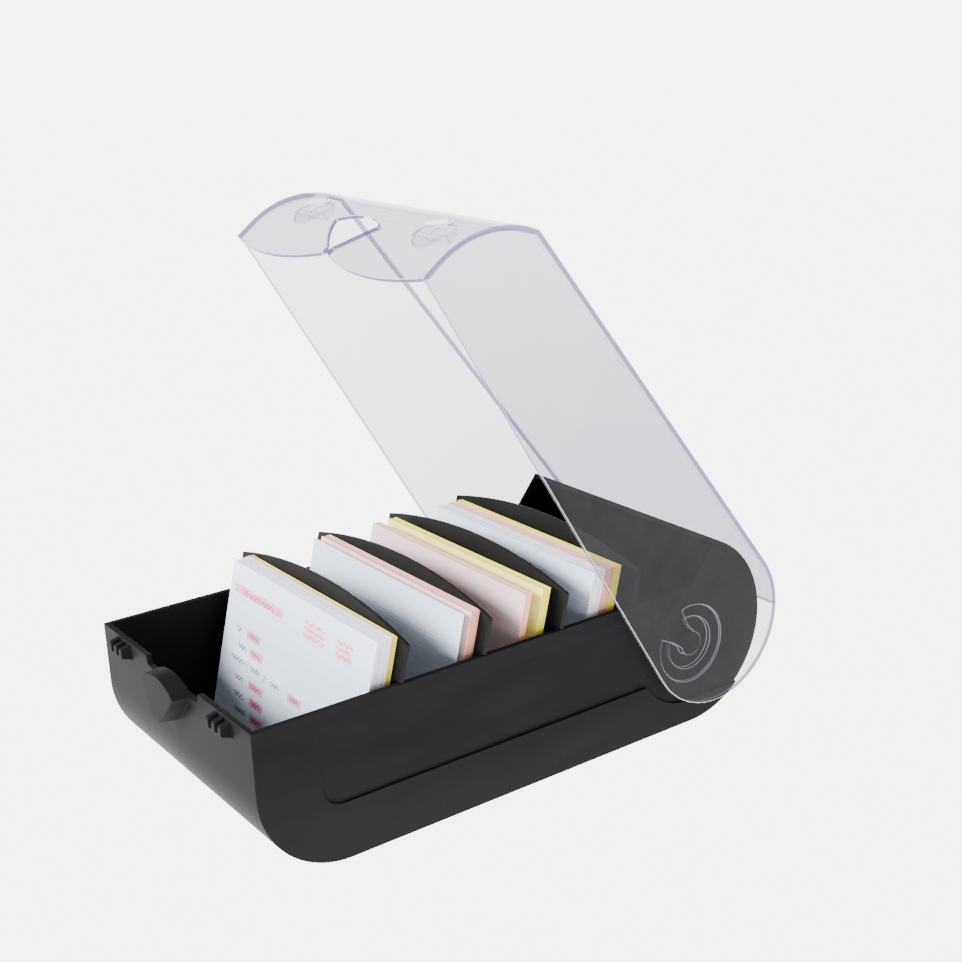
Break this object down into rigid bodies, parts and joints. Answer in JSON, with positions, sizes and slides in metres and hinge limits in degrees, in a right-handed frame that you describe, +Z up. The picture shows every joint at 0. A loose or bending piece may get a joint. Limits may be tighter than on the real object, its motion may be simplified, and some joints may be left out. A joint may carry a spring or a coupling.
{
  "type": "index card box",
  "caption": "Hinged desktop box for small index cards: black moulded tray, clear hinged lid held open, leaning arched dividers and packs of ruled white, pink and yellow cards.",
  "frame": {"origin": "on the table under the middle of the box with its lid held open", "axes": "+Z up, +Y from the front wall with the knob towards the hinge, +X to the right seen from the front"},
  "size_m": [0.1276, 0.2444, 0.2127],
  "materials": {
    "black_plastic": "fine satin moulding",
    "clear_plastic": "clear polished moulding",
    "divider_plastic": "satin sheet",
    "card_white": "uncoated ruled card",
    "card_pink": "uncoated ruled card",
    "card_yellow": "uncoated ruled card"
  },
  "bodies": {
    "tray": {"tray": "black_plastic"},
    "lid": {"lid": "clear_plastic"},
    "divider_1": {"divider_1": "divider_plastic"},
    "divider_2": {"divider_2": "divider_plastic"},
    "divider_3": {"divider_3": "divider_plastic"},
    "divider_4": {"divider_4": "divider_plastic"},
    "pack_1": {"pack_1_white_cards": "card_white", "pack_1_pink_cards": "card_pink", "pack_1_yellow_cards": "card_yellow"},
    "pack_1_lead": {"pack_1_lead_card": "card_white"},
    "pack_2": {"pack_2_pink_cards": "card_pink"},
    "pack_2_lead": {"pack_2_lead_card": "card_white"},
    "pack_2_pink_lead": {"pack_2_pink_lead_card": "card_pink"},
    "pack_3": {"pack_3_pink_cards": "card_pink"},
    "pack_3_lead": {"pack_3_lead_card": "card_pink"},
    "pack_3_yellow": {"pack_3_yellow_cards": "card_yellow"},
    "pack_3_yellow_lead": {"pack_3_yellow_lead_card": "card_yellow"},
    "pack_4": {"pack_4_white_cards": "card_white", "pack_4_pink_cards": "card_pink", "pack_4_yellow_cards": "card_yellow"},
    "pack_4_lead": {"pack_4_lead_card": "card_white"}
  },
  "joints": [
    {"name": "lid_hinge", "type": "hinge", "parent": "tray", "child": "lid", "pos_m": [0, 0.07686, 0.0352], "axis": [-1, 0, 0], "range_deg": [-53, 27]},
    {"name": "divider_1_lift", "type": "slide", "parent": "tray", "child": "divider_1", "axis": [0, 0.2504, 0.9681], "range_m": [0, 0.06]},
    {"name": "divider_2_lift", "type": "slide", "parent": "tray", "child": "divider_2", "axis": [0, 0.2504, 0.9681], "range_m": [0, 0.06]},
    {"name": "divider_3_lift", "type": "slide", "parent": "tray", "child": "divider_3", "axis": [0, 0.2504, 0.9681], "range_m": [0, 0.06]},
    {"name": "divider_4_lift", "type": "slide", "parent": "tray", "child": "divider_4", "axis": [0, 0.2504, 0.9681], "range_m": [0, 0.043]},
    {"name": "pack_1_lift", "type": "slide", "parent": "tray", "child": "pack_1", "axis": [0, 0.2504, 0.9681], "range_m": [0, 0.06]},
    {"name": "pack_1_lead_lift", "type": "slide", "parent": "tray", "child": "pack_1_lead", "axis": [0, 0.2504, 0.9681], "range_m": [0, 0.06]},
    {"name": "pack_2_lift", "type": "slide", "parent": "tray", "child": "pack_2", "axis": [0, 0.2504, 0.9681], "range_m": [0, 0.06]},
    {"name": "pack_2_lead_lift", "type": "slide", "parent": "tray", "child": "pack_2_lead", "axis": [0, 0.2504, 0.9681], "range_m": [0, 0.06]},
    {"name": "pack_2_pink_lead_lift", "type": "slide", "parent": "tray", "child": "pack_2_pink_lead", "axis": [0, 0.2504, 0.9681], "range_m": [0, 0.06]},
    {"name": "pack_3_lift", "type": "slide", "parent": "tray", "child": "pack_3", "axis": [0, 0.2504, 0.9681], "range_m": [0, 0.06]},
    {"name": "pack_3_lead_lift", "type": "slide", "parent": "tray", "child": "pack_3_lead", "axis": [0, 0.2504, 0.9681], "range_m": [0, 0.06]},
    {"name": "pack_3_yellow_lift", "type": "slide", "parent": "tray", "child": "pack_3_yellow", "axis": [0, 0.2504, 0.9681], "range_m": [0, 0.06]},
    {"name": "pack_3_yellow_lead_lift", "type": "slide", "parent": "tray", "child": "pack_3_yellow_lead", "axis": [0, 0.2504, 0.9681], "range_m": [0, 0.06]},
    {"name": "pack_4_lift", "type": "slide", "parent": "tray", "child": "pack_4", "axis": [0, 0.2504, 0.9681], "range_m": [0, 0.054]},
    {"name": "pack_4_lead_lift", "type": "slide", "parent": "tray", "child": "pack_4_lead", "axis": [0, 0.2504, 0.9681], "range_m": [0, 0.054]}
  ]
}
